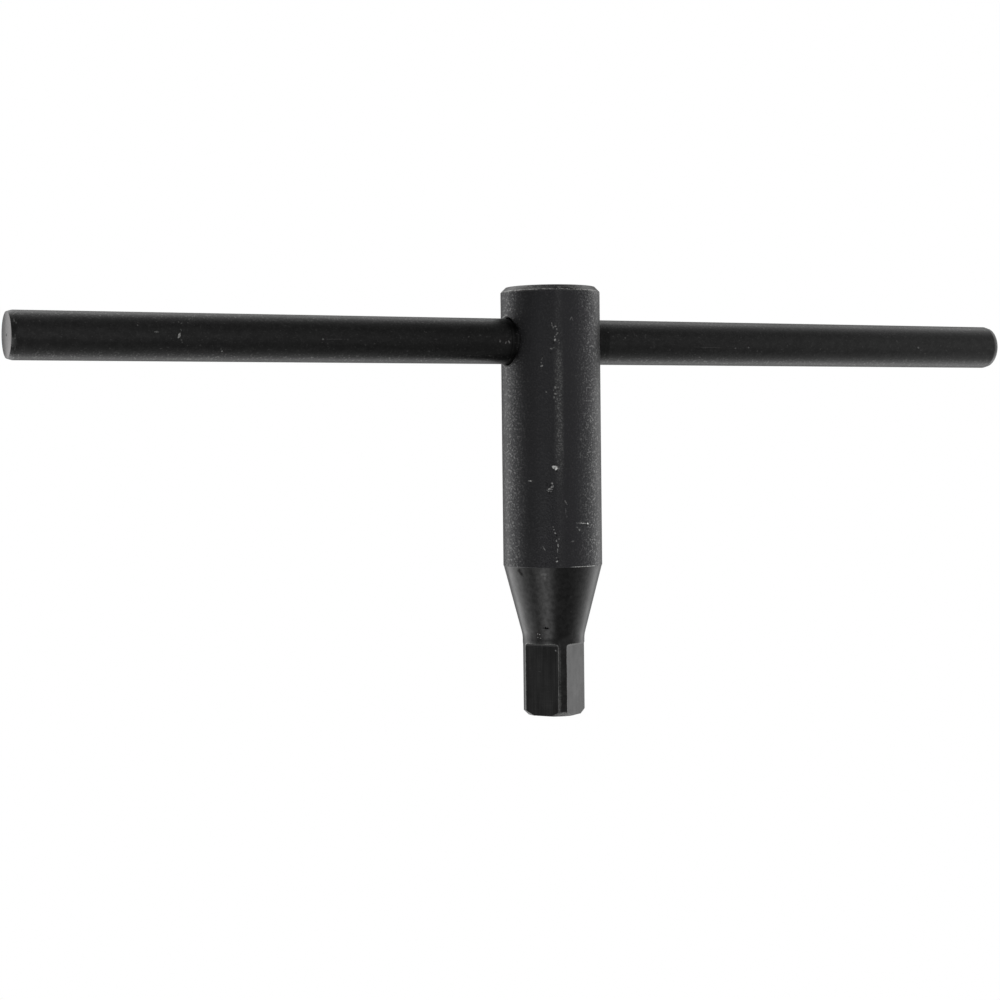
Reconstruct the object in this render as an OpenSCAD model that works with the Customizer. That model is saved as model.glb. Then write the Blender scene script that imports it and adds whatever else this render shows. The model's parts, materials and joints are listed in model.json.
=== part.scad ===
// T-handle chuck key: a turned shank with a square drive end, and a plain cross bar through its head.
// The origin is the centre of the drive's end face. +Z runs up the shank and the bar lies along X.

/* [Key] */
// Overall length, from the drive's end face to the top of the head
key_len = 94.7; // [85:0.1:150]
// Diameter of the cylindrical head
head_d = 22; // [20:0.5:30]
// Width of the 45 degree chamfer round the top of the head
top_chamfer = 1.1; // [0.4:0.1:2]
// Break on the head's lower edge, where the taper starts
edge_break = 0.1; // [0.05:0.05:0.3]

/* [Taper] */
// Height at which the taper leaves the round journal
taper_start = 17.6; // [16.8:0.1:24]
// Height at which the taper reaches the head
taper_end = 33.1; // [30:0.1:40]
// Radius that blends the taper into the journal
blend_r = 6; // [2:0.5:10]

/* [Square drive] */
// Size across two opposite flats
drive_af = 11; // [9:0.5:12]
// Diameter over the round lands left at the square's corners
land_d = 13.75; // [13.5:0.05:14.5]
// Length of the flats, from the end face to their shoulder
flat_len = 16; // [10:0.5:16]
// Radius left by the cutter between a flat and its shoulder
flat_fillet = 0.6; // [0.3:0.1:1]
// Width of the 45 degree chamfer round the end face
end_chamfer = 1; // [0.4:0.1:1.5]
// Turn of the first flat away from the bar, in degrees
drive_turn = 35; // [0:5:45]

/* [Handle bar] */
// Diameter of the bar and of the bore that it is pressed into
bar_d = 10; // [8:0.5:12]
// Length of the bar
bar_len = 240; // [120:10:400]
// Distance from the top of the head down to the bar's axis
bar_drop = 12; // [10:0.1:20]
// Radial width of the taper at each end of the bar
bar_end_step = 0.3; // [0.2:0.1:1]
// Length of the taper at each end of the bar
bar_end_len = 1.1; // [0.5:0.1:3]
// Radial width of the countersink at each mouth of the bore
mouth_step = 0.6; // [0.2:0.1:1]

/* [Hidden] */
$fn = 96;
overcut = 1;
flats = 4;
head_r = head_d / 2;
land_r = land_d / 2;
bar_r = bar_d / 2;
bar_z = key_len - bar_drop;
taper_end_r = head_r - edge_break;
taper_angle = atan2(taper_end_r - land_r, taper_end - taper_start);
// The blend is a circle that touches the journal below and the taper above
blend_reach = blend_r * tan(taper_angle / 2);
blend_z = taper_start - blend_reach;
blend_top_z = blend_z + blend_r * sin(taper_angle);
blend_top_r = land_r + blend_r * (1 - cos(taper_angle));

// Half outline of the shank, drawn as radius and height, with its axis on the left
module shank_outline() {
    difference() {
        polygon([
            [0, 0],
            [land_r - end_chamfer, 0],
            [land_r, end_chamfer],
            [land_r, blend_z],
            [blend_top_r, blend_top_z],
            [taper_end_r, taper_end],
            [head_r, taper_end + edge_break],
            [head_r, key_len - top_chamfer],
            [head_r - top_chamfer, key_len],
            [0, key_len]
        ]);
        translate([land_r + blend_r, blend_z]) circle(r = blend_r);
    }
}

// One flat's cutter, which leaves a fillet at the top of the flat
module flat_cutter() {
    reach = land_d;
    rotate([90, 0, 90]) linear_extrude(height = reach, center = true) {
        difference() {
            translate([drive_af / 2, -overcut]) square([reach, flat_len + overcut]);
            difference() {
                translate([drive_af / 2 - overcut, flat_len - flat_fillet])
                    square([flat_fillet + overcut, flat_fillet + overcut]);
                translate([drive_af / 2 + flat_fillet, flat_len - flat_fillet])
                    circle(r = flat_fillet);
            }
        }
    }
}

// Cross bore with a countersink at each mouth, along X through the head
module cross_bore() {
    rotate([0, 90, 0]) cylinder(r = bar_r, h = head_d + 2 * overcut, center = true);
    for (side = [0, 180])
        rotate([0, 0, side])
            translate([head_r - mouth_step, 0, 0])
                rotate([0, 90, 0])
                    cylinder(r1 = bar_r, r2 = bar_r + mouth_step + overcut, h = mouth_step + overcut);
}

// Shank: head, taper, journal and square drive, turned and milled from one piece of steel
module shank() {
    color("#2b2b2c")
        difference() {
            rotate_extrude() shank_outline();
            for (i = [0 : flats - 1])
                rotate([0, 0, drive_turn + i * 360 / flats - 90]) flat_cutter();
            translate([0, 0, bar_z]) cross_bore();
        }
}

// Handle bar: plain round bar with both ends tapered off, centred in the head
module handle_bar() {
    half = bar_len / 2;
    color("#1f1f20")
        translate([0, 0, bar_z])
            rotate([0, 90, 0])
                rotate_extrude()
                    polygon([
                        [0, -half],
                        [bar_r - bar_end_step, -half],
                        [bar_r, bar_end_len - half],
                        [bar_r, half - bar_end_len],
                        [bar_r - bar_end_step, half],
                        [0, half]
                    ]);
}

shank();
handle_bar();
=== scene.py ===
"""Looks of a T-handle chuck key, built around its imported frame.

The key is two pieces of black-oxide steel: a turned shank with a milled square drive, and a
drawn bar pressed through its head. Lengths are in metres, and MM turns millimetres to metres.
"""

import json
import logging
import math
from collections.abc import Iterable
from dataclasses import dataclass
from enum import Enum
from typing import Any

import bmesh
import bpy
from mathutils import Matrix, Vector


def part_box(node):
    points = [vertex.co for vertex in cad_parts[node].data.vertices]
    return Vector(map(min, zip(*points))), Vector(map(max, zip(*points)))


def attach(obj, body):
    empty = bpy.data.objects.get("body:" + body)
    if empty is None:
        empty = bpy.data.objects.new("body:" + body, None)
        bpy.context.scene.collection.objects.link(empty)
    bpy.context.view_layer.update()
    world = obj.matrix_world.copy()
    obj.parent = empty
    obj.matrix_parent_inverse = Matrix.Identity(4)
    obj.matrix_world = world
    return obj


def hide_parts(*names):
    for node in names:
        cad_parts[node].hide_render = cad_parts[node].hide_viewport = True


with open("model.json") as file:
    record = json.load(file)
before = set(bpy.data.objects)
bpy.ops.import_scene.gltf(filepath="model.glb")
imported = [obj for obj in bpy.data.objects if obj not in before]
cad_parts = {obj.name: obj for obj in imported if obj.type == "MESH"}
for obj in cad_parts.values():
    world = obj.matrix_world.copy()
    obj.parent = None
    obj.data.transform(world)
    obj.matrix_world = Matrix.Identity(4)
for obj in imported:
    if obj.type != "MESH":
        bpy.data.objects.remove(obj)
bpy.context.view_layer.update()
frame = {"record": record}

MM = 0.001
TURN_STEPS = 288  # one vertex every 1.25 degrees, so each flat's middle has one
MERGE = 0.0001 * MM  # vertices closer than this are one in a turned solid
CUT_MERGE = 0.0005 * MM  # and in a carved one
SHARP_DEG = 20.0  # edges sharper than this are broken after milling and drilling
ON_PLANE = 0.01 * MM  # a face with its middle closer than this to a plane lies in it
STRAIGHT = 0.99  # cosine above which a face looks straight along an axis
SQUARE_ON = 0.9  # cosine above which a face belongs to a flat and not to its fillet
UPRIGHT = 0.05  # sine below which a face stands upright
FACED_DEPTH = 0.015  # depth of the rings on faced ends, in millimetres
FINE_MM = (0.35, 0.35, 0.35)  # grains that make edges ragged and speckle the marks
BODY = "root"
MATH = "ShaderNodeMath"
RAMP = "ShaderNodeMapRange"
VECTOR = "ShaderNodeVectorMath"
SOFT = "SMOOTHSTEP"
MOST = (0.3, 0.7)  # range that holds most of a noise's values
log = logging.getLogger("chuck_key")


def linear(hex_code: str) -> tuple[float, float, float, float]:
    """Turn an sRGB hex value into a linear colour.

    Args:
        hex_code: Six hex digits, such as "2b2b2c".

    Returns:
        Red, green, blue and an alpha of 1.
    """
    parts = [int(hex_code[i : i + 2], 16) / 255 for i in (0, 2, 4)]
    red, green, blue = (c / 12.92 if c <= 0.04045 else ((c + 0.055) / 1.055) ** 2.4 for c in parts)
    return red, green, blue, 1.0


def add(
    tree: bpy.types.NodeTree,
    kind: str,
    inputs: dict[str | int, Any] | Iterable[Any] = (),
    **settings: Any,
) -> bpy.types.bpy_prop_collection:
    """Add one node, with its settings and its links.

    Args:
        tree: The node tree that the node goes into.
        kind: The node's type, such as "ShaderNodeMath".
        inputs: Values in the order of the node's sockets, or by socket name or number. An
            output socket is linked, and anything else becomes the socket's own value.
        settings: Properties of the node by name.

    Returns:
        The new node's outputs.
    """
    node = tree.nodes.new(kind)
    for name, value in settings.items():
        setattr(node, name, value)
    pairs = inputs.items() if isinstance(inputs, dict) else enumerate(inputs)
    for name, value in pairs:
        if isinstance(value, bpy.types.NodeSocket):
            tree.links.new(value, node.inputs[name])
        else:
            node.inputs[name].default_value = value
    return node.outputs


# --------------------------------------------------------------------------------- marks


@dataclass(frozen=True)
class Mark:
    """A nick, chip or scratch, or a pit's painted shade, on an unrolled surface.

    Attributes:
        across: Degrees round the surface from its facing line.
        along: Millimetres along the axis.
        width: Full size across, in millimetres.
        length: Full size along, in millimetres.
        turn: Turn of the mark in its surface, in degrees.
        strength: Share of bare steel it shows, or, for a pit's painted shade, how far it darkens the
            oxide.
    """

    across: float
    along: float
    width: float
    length: float
    turn: float = 0.0
    strength: float = 1.0


# The shank's facing line is the meridian in the quarter opposite the drive's first flat. The
# marks on the head's side run from its top down.
FACING_DEG = -116.6
HEAD_MARKS = (
    Mark(24.0, 87.2, 0.25, 0.9, -35, 0.10),
    Mark(26.2, 87.1, 0.2, 0.8, 10, 0.08),
    Mark(2.0, 85.8, 0.22, 1.5, 14, 0.16),
    Mark(3.4, 85.2, 0.25, 0.5, -20, 0.18),
    Mark(5.8, 85.5, 0.45, 0.3, 0, 0.24),
    Mark(7.4, 84.9, 0.3, 0.3, 40, 0.18),
    Mark(8.2, 84.1, 0.35, 0.3, 0, 0.20),
    Mark(6.8, 83.7, 0.5, 0.22, 40, 0.18),
    Mark(4.9, 83.3, 0.3, 0.3, 0, 0.18),
    Mark(5.3, 82.6, 0.42, 0.6, 25, 0.34),
    Mark(9.4, 82.5, 0.22, 0.3, 0, 0.14),
    Mark(9.8, 81.8, 0.22, 0.5, -20, 0.10),
    Mark(1.2, 80.7, 0.5, 0.45, 0, 0.22),
    Mark(4.0, 80.9, 0.3, 0.3, 0, 0.10),
    Mark(8.6, 80.2, 0.25, 0.8, 20, 0.08),
    Mark(-9.6, 78.6, 0.22, 0.7, -30, 0.08),
    Mark(-10.8, 77.7, 0.22, 0.3, 0, 0.14),
    Mark(-10.2, 77.0, 0.5, 0.35, 20, 0.20),
    Mark(29.8, 74.8, 0.22, 0.22, 0, 0.20),
    Mark(4.8, 72.3, 0.4, 0.5, 30, 0.18),
    Mark(3.0, 71.7, 0.25, 0.3, 0, 0.12),
    Mark(4.8, 70.9, 0.45, 0.4, 0, 0.28),
    Mark(-5.3, 71.3, 0.3, 0.3, 0, 0.10),
    Mark(3.6, 70.1, 0.3, 0.5, 0, 0.16),
    Mark(7.1, 69.8, 0.3, 0.5, 0, 0.14),
    Mark(5.2, 69.3, 0.25, 0.4, 20, 0.14),
    Mark(8.3, 68.9, 0.25, 0.4, 0, 0.10),
    Mark(7.4, 67.9, 0.25, 0.5, 10, 0.10),
    Mark(36.0, 60.9, 0.3, 0.6, 0, 0.10),
    Mark(34.7, 57.5, 0.25, 1.2, 0, 0.06),
    Mark(4.2, 54.9, 1.45, 0.6, -14, 0.60),
    Mark(4.3, 54.85, 0.7, 0.85, 0, 0.60),
    Mark(5.2, 54.7, 0.6, 0.4, -12, 0.95),
    Mark(-24.8, 52.05, 0.95, 0.2, 0, 0.42),
    Mark(0.2, 51.45, 0.4, 0.35, 0, 0.24),
    Mark(1.2, 50.85, 0.25, 0.6, -20, 0.24),
    Mark(-0.6, 50.7, 0.25, 0.6, -30, 0.30),
    Mark(-1.6, 50.3, 0.5, 0.25, 35, 0.26),
    Mark(0.0, 50.2, 0.3, 0.25, 0, 0.20),
    Mark(-3.4, 50.25, 0.5, 0.25, 35, 0.30),
    Mark(-5.2, 50.0, 0.35, 0.25, 0, 0.16),
    Mark(-3.6, 49.75, 0.4, 0.22, 20, 0.20),
    Mark(-1.4, 49.7, 0.3, 0.25, 0, 0.14),
    Mark(15.8, 47.3, 0.22, 1.0, 28, 0.18),
    Mark(15.6, 45.4, 0.22, 1.2, 0, 0.07),
    Mark(16.6, 44.2, 0.4, 0.5, 0, 0.05),
    Mark(36.2, 42.7, 2.3, 0.18, -3, 0.40),
    Mark(44.8, 42.55, 0.42, 0.3, 20, 0.80),
    Mark(50.5, 42.2, 0.6, 0.25, 40, 0.14),
    Mark(54.5, 41.8, 0.25, 0.7, -15, 0.12),
    Mark(32.2, 41.3, 0.35, 0.6, 30, 0.18),
    Mark(29.3, 41.8, 0.5, 0.3, 0, 0.12),
    Mark(23.8, 38.8, 0.5, 0.35, 0, 0.12),
    Mark(0.9, 42.0, 0.25, 0.3, 0, 0.12),
    Mark(1.7, 41.4, 0.3, 0.25, 0, 0.18),
    Mark(3.0, 40.7, 0.35, 0.35, 0, 0.32),
    Mark(7.3, 39.4, 0.22, 0.35, 20, 0.20),
    Mark(4.6, 39.0, 0.35, 0.4, 0, 0.30),
    Mark(6.3, 38.0, 0.22, 1.0, 6, 0.26),
    Mark(5.6, 36.8, 0.22, 0.9, -6, 0.24),
    Mark(4.2, 35.3, 0.3, 0.3, 0, 0.12),
    Mark(4.9, 34.5, 0.5, 0.3, 20, 0.36),
    Mark(-9.6, 37.3, 0.2, 1.0, 28, 0.13),
)
# Four specks at the taper's foot, two faint ones up its side, and the nick and scratches on
# the square's left flat
DRIVE_MARKS = (
    Mark(-29.5, 18.3, 0.28, 0.2, 0, 0.30),
    Mark(-25.0, 18.2, 0.28, 0.2, 0, 0.30),
    Mark(-29.5, 17.5, 0.28, 0.2, 0, 0.25),
    Mark(-25.0, 17.4, 0.28, 0.2, 0, 0.25),
    Mark(25.0, 26.5, 0.35, 0.35, 0, 0.02),
    Mark(28.0, 23.2, 0.35, 0.35, 0, 0.02),
    Mark(-11.0, 31.6, 0.9, 0.5, 20, 0.02),
    Mark(-9.5, 30.6, 0.4, 0.9, 20, 0.02),
    Mark(11.0, 94.1, 0.6, 0.5, 0, 0.14),
    Mark(4.2, 14.6, 0.35, 0.3, 20, 0.22),
    Mark(10.8, 11.5, 0.5, 9.0, 0, 0.04),
    Mark(10.8, 3.5, 0.5, 6.0, 0, 0.05),
    Mark(-33.6, 9.8, 1.1, 0.12, -12, 0.045),
    Mark(-57.0, 10.5, 0.8, 0.12, 20, 0.04),
)
# Painted shade, darker than the oxide: a pit under the head's edge, a dash near the taper's foot, and
# dashes on the head's top chamfer
TAPER_PIT_SHADE = (
    Mark(-43.4, 32.4, 0.75, 0.6, 20, 1.5),
    Mark(-41.4, 31.75, 0.5, 1.1, 30, 1.6),
    Mark(-12.7, 19.65, 1.2, 0.45, 0, 1.2),
    Mark(23.5, 93.8, 2.0, 0.22, -3, 1.4),
    Mark(6.5, 93.75, 0.9, 0.2, 0, 1.2),
    Mark(7.0, 94.55, 8.0, 0.75, 0, 0.75),
)
# Painted shade beside the deeper nicks in the head, standing for the shadow that their burr leaves
HEAD_PIT_SHADE = (
    Mark(9.0, 84.3, 0.4, 0.7, 0, 0.5),
    Mark(3.4, 82.0, 0.5, 0.5, 0, 0.5),
    Mark(0.2, 79.9, 0.6, 0.4, 0, 0.5),
    Mark(-9.0, 79.0, 0.4, 0.5, 0, 0.5),
    Mark(8.0, 71.9, 0.5, 0.6, 20, 0.5),
    Mark(4.6, 70.2, 0.4, 0.7, 0, 0.5),
    Mark(5.4, 54.15, 1.0, 0.35, -12, 0.7),
    Mark(2.6, 55.45, 0.8, 0.25, -12, 0.6),
    Mark(-5.6, 51.2, 0.5, 0.6, 0, 0.5),
    Mark(-1.8, 50.9, 0.35, 0.7, -20, 0.5),
    Mark(-2.6, 49.5, 0.8, 0.4, 20, 0.5),
    Mark(43.5, 42.2, 0.9, 0.3, 0, 0.6),
    Mark(33.0, 42.7, 0.9, 0.3, 0, 0.5),
    Mark(4.6, 40.1, 0.5, 0.3, 0, 0.5),
    Mark(5.4, 35.0, 0.6, 0.3, 0, 0.5),
)
# Nicks in the bar's side, from left to right, with degrees counted downwards from its front
BAR_MARKS = (
    Mark(-33.0, -119.3, 0.9, 0.3, 0, 0.10),
    Mark(-26.0, -119.0, 0.5, 0.25, 0, 0.08),
    Mark(8.0, -119.3, 1.4, 0.2, 0, 0.05),
    Mark(36.0, -119.2, 1.2, 0.2, 0, 0.06),
    Mark(-52.0, -102.0, 0.4, 0.3, 0, 0.10),
    Mark(-24.0, -94.8, 0.35, 0.35, 0, 0.12),
    Mark(-8.0, -91.0, 0.25, 0.9, 0, 0.10),
    Mark(-8.0, -90.9, 0.5, 0.3, 0, 0.10),
    Mark(-34.0, -86.2, 0.22, 0.3, 0, 0.09),
    Mark(-31.0, -85.6, 0.22, 0.5, 30, 0.09),
    Mark(-32.0, -84.2, 0.22, 0.5, -20, 0.09),
    Mark(-14.0, -85.9, 0.5, 0.3, 20, 0.09),
    Mark(-1.0, -86.3, 1.0, 0.46, -22, 0.34),
    Mark(10.0, -85.9, 0.3, 0.4, 0, 0.06),
    Mark(37.0, -77.1, 0.35, 0.3, 0, 0.16),
    Mark(30.0, -77.4, 0.5, 0.2, 20, 0.07),
    Mark(3.7, -55.5, 0.3, 0.5, 0, 0.10),
    Mark(3.4, -53.0, 0.14, 4.6, 1, 0.035),
    Mark(3.0, -14.7, 0.6, 0.3, 15, 0.09),
    Mark(6.0, -13.3, 0.45, 0.3, -10, 0.12),
    Mark(5.5, -12.5, 0.8, 0.3, 20, 0.14),
    Mark(-9.0, 16.2, 0.4, 0.3, 0, 0.08),
    Mark(12.4, 38.2, 0.14, 7.6, -1, 0.035),
    Mark(14.2, 45.0, 0.3, 0.5, 0, 0.11),
    Mark(11.1, 48.5, 0.3, 0.4, 0, 0.10),
    Mark(5.5, 96.1, 0.35, 0.5, 0, 0.12),
)


@dataclass(frozen=True)
class Ring:
    """A light band along an edge round the shank: partly worn steel, partly a painted highlight.

    Attributes:
        height: Height of the edge, in millimetres.
        half: Half the height of the band, in millimetres.
        middle: Bearing of its lightest part, in degrees from the facing line.
        reach: Degrees from there to where the band ends.
        strength: How much bare steel shows at most.
    """

    height: float
    half: float
    middle: float
    reach: float
    strength: float


# --------------------------------------------------------------------------------- finishes


class ShankFinish(Enum):
    """Finishes of the shank, with the material slot that each one takes."""

    MILL_SKIN = 0
    TURNED = 1
    MILLED = 2
    WORN_EDGE = 3
    FACED = 4


class BarFinish(Enum):
    """Finishes of the bar, with the material slot that each one takes."""

    DRAWN = 0
    FACED = 1


def grains(
    tree: bpy.types.NodeTree,
    where: bpy.types.NodeSocket,
    size: tuple[float, float, float],
    detail: float = 2.0,
) -> bpy.types.NodeSocket:
    """Random grains that have a real size along each axis.

    Args:
        tree: The material's tree.
        where: Coordinates in metres.
        size: Grain size along X, Y and Z, in millimetres.
        detail: Octaves of finer grains on top.

    Returns:
        A value around 0.5.
    """
    scaled = add(tree, VECTOR, (where, tuple(1 / (s * MM) for s in size)), operation="MULTIPLY")[0]
    inputs = {"Vector": scaled, "Scale": 1.0, "Detail": detail, "Roughness": 0.6}
    return add(tree, "ShaderNodeTexNoise", inputs)[0]


def facing_turn() -> Matrix:
    """Rotation that brings the shank's facing line to X."""
    return Matrix.Rotation(-math.radians(FACING_DEG), 3, "Z")


def bar_turn() -> Matrix:
    """Rotation that brings the bar's axis to Z and its front line, which faces -Y, to X."""
    return Matrix(((0, -1, 0), (0, 0, -1), (1, 0, 0)))


def apart(tree: bpy.types.NodeTree, value: bpy.types.NodeSocket, middle: float) -> bpy.types.NodeSocket:
    """How far a value is from a middle value, on either side.

    Args:
        tree: The material's tree.
        value: The value.
        middle: The middle value.

    Returns:
        The distance, never negative.
    """
    off = add(tree, MATH, (value, middle), operation="SUBTRACT")[0]
    return add(tree, MATH, (off,), operation="ABSOLUTE")[0]


@dataclass(frozen=True)
class Unrolled:
    """A round surface laid flat, so that marks can be placed on it.

    Attributes:
        across: Degrees round the axis from the facing line.
        along: Millimetres along the axis.
        radius: Millimetres from the axis.
    """

    across: bpy.types.NodeSocket
    along: bpy.types.NodeSocket
    radius: bpy.types.NodeSocket

    @classmethod
    def about(
        cls,
        tree: bpy.types.NodeTree,
        where: bpy.types.NodeSocket,
        turn: Matrix,
        centre: Vector,
    ) -> "Unrolled":
        """Unroll a surface about an axis.

        Args:
            tree: The material's tree.
            where: Object coordinates.
            turn: Rotation that brings the axis to Z and the facing line to X.
            centre: A point on the axis.

        Returns:
            The unrolled surface.
        """
        inputs = {
            "Vector": where,
            "Location": -(turn @ centre) / MM,
            "Rotation": turn.to_euler(),
            "Scale": (1 / MM,) * 3,
        }
        local = add(tree, "ShaderNodeMapping", inputs, vector_type="POINT")[0]
        out, side, along = add(tree, "ShaderNodeSeparateXYZ", (local,)).values()
        angle = add(tree, MATH, (side, out), operation="ARCTAN2")[0]
        degrees = add(tree, MATH, (angle,), operation="DEGREES")[0]
        flat = add(tree, "ShaderNodeCombineXYZ", (out, side))[0]
        radius = add(tree, VECTOR, (flat,), operation="LENGTH")["Value"]
        return cls(degrees, along, radius)

    def marked(
        self,
        tree: bpy.types.NodeTree,
        marks: tuple[Mark, ...],
        radius_mm: float,
        fine: bpy.types.NodeSocket,
    ) -> bpy.types.NodeSocket:
        """Mask of a set of marks with ragged edges.

        Args:
            tree: The material's tree.
            marks: The marks.
            radius_mm: Radius of the surface, in millimetres.
            fine: Fine grains that break the marks' edges and speckle them.

        Returns:
            The strongest mark at each point, from 0 to 1.
        """
        degree = math.radians(radius_mm)
        ragged = add(tree, RAMP, (fine, *MOST, -0.3, 0.3), interpolation_type=SOFT)[0]
        speckle = add(tree, RAMP, (fine, 0.35, 0.65, 1.0, 0.55), interpolation_type=SOFT)[0]
        arc = add(tree, MATH, (self.across, degree), operation="MULTIPLY")[0]
        plain = add(tree, "ShaderNodeCombineXYZ", (arc, self.along))[0]
        total: Any = 0.0
        for mark in marks:
            place = Vector((mark.across * degree, mark.along, 0.0))
            share = Vector((2 / mark.width, 2 / mark.length, 1.0))
            inputs = {"Vector": plain, "Center": place, "Angle": -math.radians(mark.turn)}
            level = add(tree, "ShaderNodeVectorRotate", inputs, rotation_type="Z_AXIS")[0]
            local = add(tree, VECTOR, (level, share, -place * share), operation="MULTIPLY_ADD")[0]
            reach = add(tree, VECTOR, (local,), operation="LENGTH")["Value"]
            edge = add(tree, MATH, (reach, ragged), operation="ADD")[0]
            mask = add(tree, RAMP, (edge, 1.3, 0.7, 0.0, mark.strength), interpolation_type=SOFT)[0]
            total = add(tree, MATH, (total, mask), operation="MAXIMUM")[0]
        return add(tree, MATH, (total, speckle), operation="MULTIPLY")[0]

    def worn(
        self, tree: bpy.types.NodeTree, rings: tuple[Ring, ...], fine: bpy.types.NodeSocket
    ) -> bpy.types.NodeSocket:
        """Mask of the light bands along edges round the surface, partly wear and partly painted
        highlights.

        Args:
            tree: The material's tree.
            rings: The edges.
            fine: Grains that break the wear up.

        Returns:
            Share of bare steel, from 0 to 1.
        """
        broken = add(tree, RAMP, (fine, 0.40, 0.58, 0.3, 1.0), interpolation_type=SOFT)[0]
        total: Any = 0.0
        for ring in rings:
            off = apart(tree, self.along, ring.height)
            away = apart(tree, self.across, ring.middle)
            limits = (ring.half, 0.3 * ring.half, 0.0, ring.strength)
            band = add(tree, RAMP, (off, *limits), interpolation_type=SOFT)[0]
            limits = (ring.reach, 0.6 * ring.reach, 0.0, 1.0)
            stretch = add(tree, RAMP, (away, *limits), interpolation_type=SOFT)[0]
            share = add(tree, MATH, (band, stretch), operation="MULTIPLY")[0]
            total = add(tree, MATH, (share, total), operation="MAXIMUM")[0]
        return add(tree, MATH, (total, broken), operation="MULTIPLY")[0]


@dataclass(frozen=True)
class Twinkle:
    """Where a skin's fine pits get painted glints and painted shade: at its sides, where light grazes
    them, and only faintly in front.

    Attributes:
        start: Degrees from the facing line at which the pits begin to show.
        full: Degrees at which they are fully crisp.
        fade: Degrees at which they begin to fade again.
        calm: Degrees beyond which they stay faded.
        front: How crisp they are in front, from 0 to 1.
        behind: How crisp they are behind.
    """

    start: float
    full: float
    fade: float
    calm: float
    front: float
    behind: float

    def mask(self, tree: bpy.types.NodeTree, side: Unrolled) -> bpy.types.NodeSocket:
        """How strong the pits' painted glints and shade are at each point.

        Args:
            tree: The material's tree.
            side: The surface, unrolled.

        Returns:
            A value from 0 to 1.
        """
        away = apart(tree, side.across, 0.0)
        limits = (self.start, self.full, self.front, 1.0)
        crisp = add(tree, RAMP, (away, *limits), interpolation_type=SOFT)[0]
        limits = (self.fade, self.calm, 1.0, self.behind)
        faded = add(tree, RAMP, (away, *limits), interpolation_type=SOFT)[0]
        return add(tree, MATH, (crisp, faded), operation="MULTIPLY")[0]


@dataclass(frozen=True)
class BlackOxide:
    """Steel blackened in a hot salt bath: a thin magnetite skin that keeps the metal's texture.

    Attributes:
        name: The material's name.
        skin: The oxide's colour, as sRGB hex.
        roughness: Mean roughness of the surface.
        bare: Colour where wear has thinned the oxide, as sRGB hex.
    """

    name: str
    skin: str
    roughness: float
    bare: str = "a8a8a6"

    def start(self) -> tuple[bpy.types.Material, bpy.types.NodeTree, bpy.types.NodeSocket]:
        """Make an empty material with its object coordinates.

        Returns:
            The material, its tree and the coordinate socket.
        """
        material = bpy.data.materials.new(self.name)
        material.use_nodes = True
        tree = material.node_tree
        tree.nodes.clear()
        return material, tree, add(tree, "ShaderNodeTexCoord")["Object"]

    def close(
        self,
        tree: bpy.types.NodeTree,
        wear: bpy.types.NodeSocket,
        shade: bpy.types.NodeSocket,
        patches: bpy.types.NodeSocket,
        relief: bpy.types.NodeSocket,
        depth_mm: float,
    ) -> None:
        """Join the patterns to a metal shader and the shader to the output.

        Args:
            tree: The material's tree.
            wear: Share of bare steel, from 0 to 1, which also carries painted glints and highlights.
            shade: Factor on the oxide's colour, about 1, which also carries painted shade and sheen.
            patches: Large grains that vary the roughness.
            relief: Height of the surface, from 0 to 1.
            depth_mm: Depth of the relief, in millimetres.
        """
        oxide = add(tree, VECTOR, {0: linear(self.skin)[:3], "Scale": shade}, operation="SCALE")[0]
        inputs = {0: wear, 6: oxide, 7: linear(self.bare)}
        colour = add(tree, "ShaderNodeMix", inputs, data_type="RGBA", clamp_factor=True)[2]
        limits = (*MOST, self.roughness - 0.03, self.roughness + 0.04)
        rough = add(tree, RAMP, (patches, *limits), interpolation_type=SOFT)[0]
        inputs = {"Strength": 1.0, "Distance": depth_mm * MM, "Height": relief}
        normal = add(tree, "ShaderNodeBump", inputs)[0]
        inputs = {"Base Color": colour, "Metallic": 1.0, "Roughness": rough, "Normal": normal}
        shader = add(tree, "ShaderNodeBsdfPrincipled", inputs)[0]
        add(tree, "ShaderNodeOutputMaterial", (shader,))


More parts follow.
